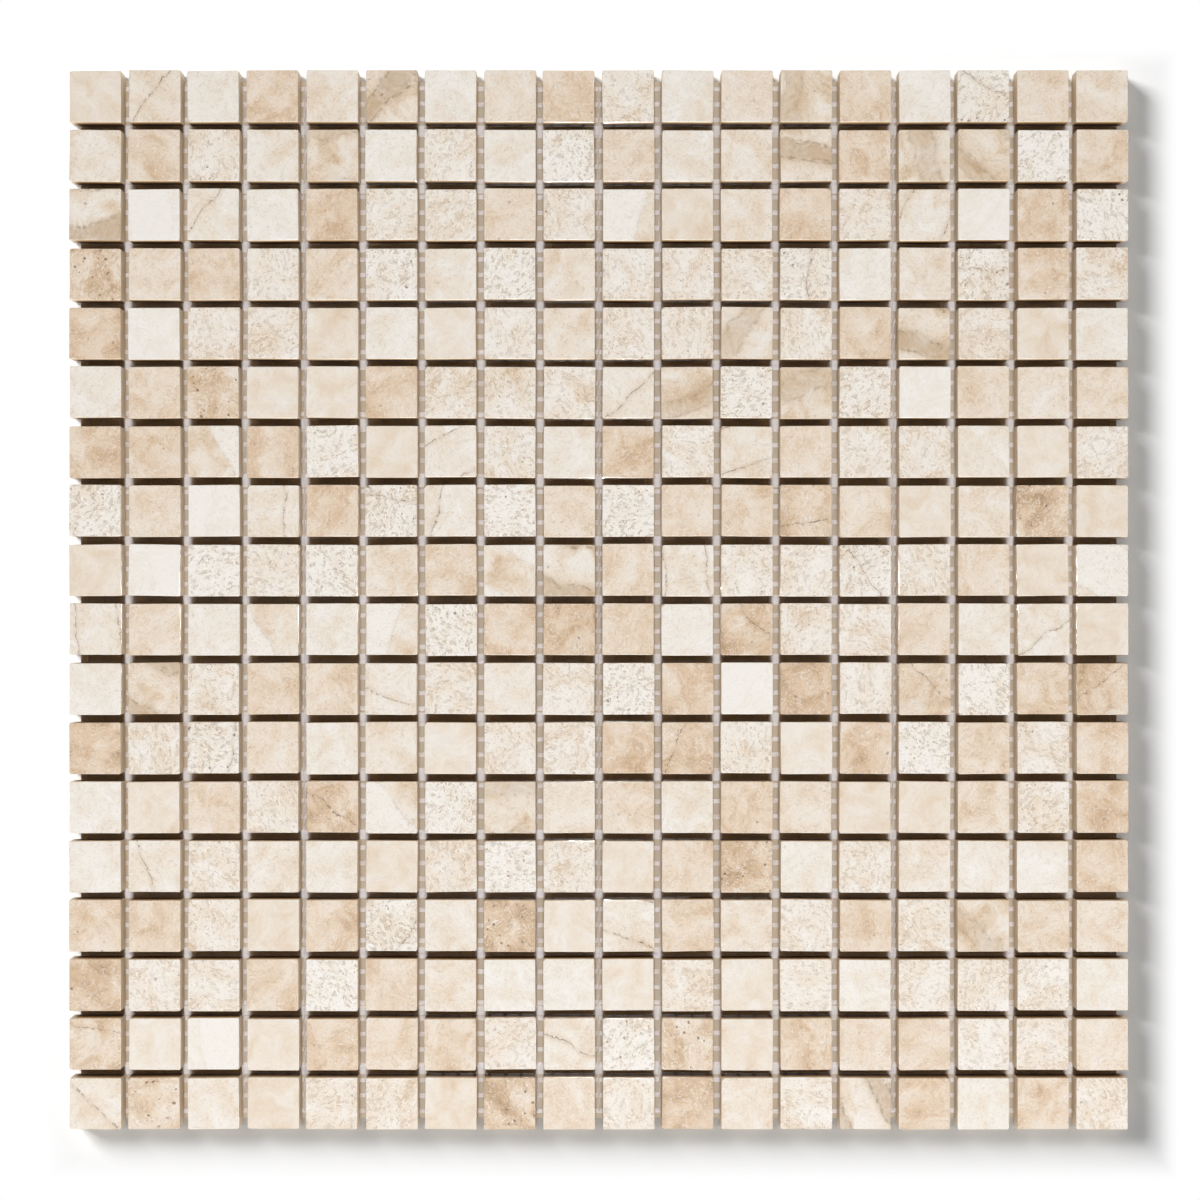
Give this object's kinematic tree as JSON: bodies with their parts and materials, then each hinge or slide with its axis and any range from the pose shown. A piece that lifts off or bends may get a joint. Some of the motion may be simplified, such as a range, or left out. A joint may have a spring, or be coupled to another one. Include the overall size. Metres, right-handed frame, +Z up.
{
  "type": "mosaic tile sheet",
  "caption": "Flat sheet of small square polished marble chips set in straight rows with open joints, bonded to an open glass-fibre backing net.",
  "frame": {"origin": "middle of the sheet, on the underside of the net, level with the surface that the sheet lies on", "axes": "+X along a row of chips, +Y across the rows towards the first row, +Z up out of the polished faces"},
  "size_m": [0.305, 0.305, 0.0075],
  "materials": {
    "chips": "polished",
    "net": "matte"
  },
  "bodies": {
    "root": {"chip_row_01": "chips", "chip_row_02": "chips", "chip_row_03": "chips", "chip_row_04": "chips", "chip_row_05": "chips", "chip_row_06": "chips", "chip_row_07": "chips", "chip_row_08": "chips", "chip_row_09": "chips", "chip_row_10": "chips", "chip_row_11": "chips", "chip_row_12": "chips", "chip_row_13": "chips", "chip_row_14": "chips", "chip_row_15": "chips", "chip_row_16": "chips", "chip_row_17": "chips", "chip_row_18": "chips", "net_warp_yarns": "net", "net_weft_yarns": "net"}
  },
  "joints": []
}
